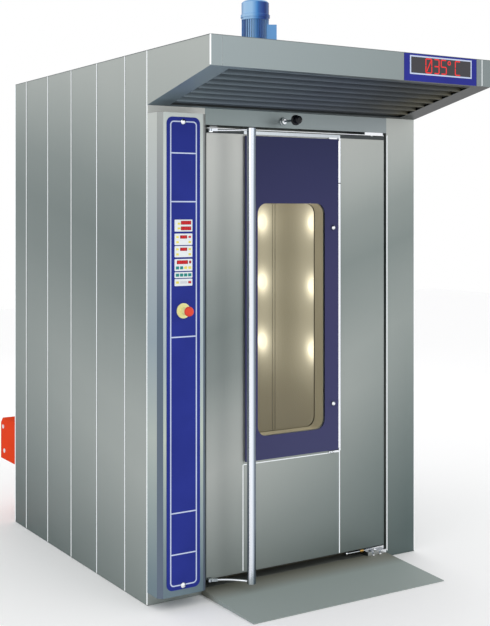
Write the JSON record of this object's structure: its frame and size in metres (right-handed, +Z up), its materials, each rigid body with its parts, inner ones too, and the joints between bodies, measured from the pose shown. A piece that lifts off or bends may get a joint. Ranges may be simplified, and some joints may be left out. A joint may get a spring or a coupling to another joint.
{
  "type": "rotating rack oven",
  "caption": "Insulated stainless bakery oven with a hinged glazed door, a turning rack hook driven from the roof, a front hood, a control column, a ramp and a rear burner.",
  "frame": {"origin": "on the floor, on the axis that the rack turns about, at the underside of the base frame", "axes": "+X to the right as seen from the front, +Y to the back, +Z up along the rack's axis"},
  "size_m": [1.5, 2.486, 2.772],
  "materials": {
    "brushed_stainless": "brushed stainless sheet, vertical grain",
    "chamber_steel": "stainless, heat-tinted",
    "polished_steel": "polished",
    "machined_steel": "turned",
    "galvanised": "galvanised",
    "floor_steel": "worn",
    "column_paint": "satin beige-grey",
    "label_blue": "satin dark blue film",
    "module_plastic": "pale membrane",
    "fascia_steel": "brushed stainless sheet",
    "filter_steel": "dark baffles",
    "display_blue": "satin blue film",
    "display_frame": "light frame",
    "stop_yellow": "yellow",
    "stop_red": "red",
    "rock_wool": "rock wool",
    "exchanger_steel": "heat-tinted",
    "burner_red": "gloss red",
    "motor_blue": "blue enamel",
    "gear_blue": "blue enamel",
    "chain_steel": "oiled",
    "lamp_glass": "lit opal glass",
    "black_plastic": "black",
    "clear_glass": "clear, slightly tinted",
    "blue_glass": "back-printed blue",
    "seal_rubber": "silicone"
  },
  "bodies": {
    "casing": {"base_frame": "galvanised", "chamber_floor": "floor_steel", "wall_insulation": "rock_wool", "roof_insulation": "rock_wool", "chamber_side_walls": "chamber_steel", "chamber_back_wall": "chamber_steel", "chamber_ceiling": "chamber_steel", "front_frame": "brushed_stainless", "supply_panel": "chamber_steel", "return_panel": "chamber_steel", "exchanger_screen": "chamber_steel", "left_cladding": "brushed_stainless", "right_cladding": "brushed_stainless", "back_cladding": "brushed_stainless", "roof_panels": "brushed_stainless", "left_pillar": "brushed_stainless", "right_pillar": "brushed_stainless", "header_panel": "brushed_stainless", "hood_shell": "brushed_stainless", "hood_fascia": "fascia_steel", "baffle_filters": "filter_steel", "display_plate": "display_blue", "display_window": "display_frame", "control_column": "column_paint", "control_label": "label_blue", "control_modules": "module_plastic", "stop_collar": "stop_yellow", "column_screws": "polished_steel", "ramp": "floor_steel", "pivot_brackets": "polished_steel", "door_catch": "machined_steel", "heat_exchanger": "exchanger_steel", "burner": "burner_red", "roof_spigots": "galvanised", "fan_motor": "motor_blue", "rack_motor": "motor_blue", "gearbox": "gear_blue", "drive_chain": "chain_steel", "bearing_housing": "machined_steel", "chamber_lamps": "lamp_glass"},
    "door": {"door_shell": "brushed_stainless", "door_panels": "brushed_stainless", "door_liner": "chamber_steel", "door_insulation": "rock_wool", "inner_glass": "clear_glass", "door_seal": "seal_rubber", "door_pins": "polished_steel", "hinge_rod": "polished_steel"},
    "glass_leaf": {"outer_glass": "blue_glass", "glass_hinge": "polished_steel", "glass_knobs": "polished_steel"},
    "handle": {"door_handle": "polished_steel"},
    "rack_drive": {"rack_spindle": "machined_steel", "driven_sprocket": "machined_steel", "rack_hook": "machined_steel"},
    "motor_shaft": {"drive_sprocket": "machined_steel"},
    "fan": {"fan_wheel": "machined_steel"},
    "stop_cap": {"stop_button": "stop_red"},
    "damper": {"damper_rod": "polished_steel", "damper_knob": "black_plastic"}
  },
  "joints": [
    {"name": "door_swing", "type": "hinge", "parent": "casing", "child": "door", "pos_m": [0.51, -0.66, 1], "axis": [0, 0, 1], "range_deg": [0, 110]},
    {"name": "glass_swing", "type": "hinge", "parent": "door", "child": "glass_leaf", "pos_m": [0.2755, -0.709, 1.3], "axis": [0, 0, 1], "range_deg": [0, 95]},
    {"name": "handle_turn", "type": "hinge", "parent": "door", "child": "handle", "pos_m": [-0.444, -0.714, 1], "axis": [0, 0, 1], "range_deg": [-30, 0]},
    {"name": "rack_turn", "type": "hinge", "parent": "casing", "child": "rack_drive", "pos_m": [0, 0, 2.4], "axis": [0, 0, 1], "continuous": true},
    {"name": "motor_turn", "type": "hinge", "parent": "casing", "child": "motor_shaft", "pos_m": [0.124, -0.2, 2.43], "axis": [0, 0, 1], "continuous": true},
    {"name": "fan_turn", "type": "hinge", "parent": "casing", "child": "fan", "pos_m": [0, 0.6, 1.82], "axis": [0, 1, 0], "continuous": true},
    {"name": "stop_press", "type": "slide", "parent": "casing", "child": "stop_cap", "axis": [0, 1, 0], "range_m": [0, 0.005], "stiffness_N_per_m": 1500},
    {"name": "damper_push", "type": "slide", "parent": "casing", "child": "damper", "axis": [0, 1, 0], "range_m": [0, 0.08]}
  ],
  "couplings": [
    {"joint": "motor_turn", "follows": "rack_turn", "ratio": 2.5333}
  ]
}
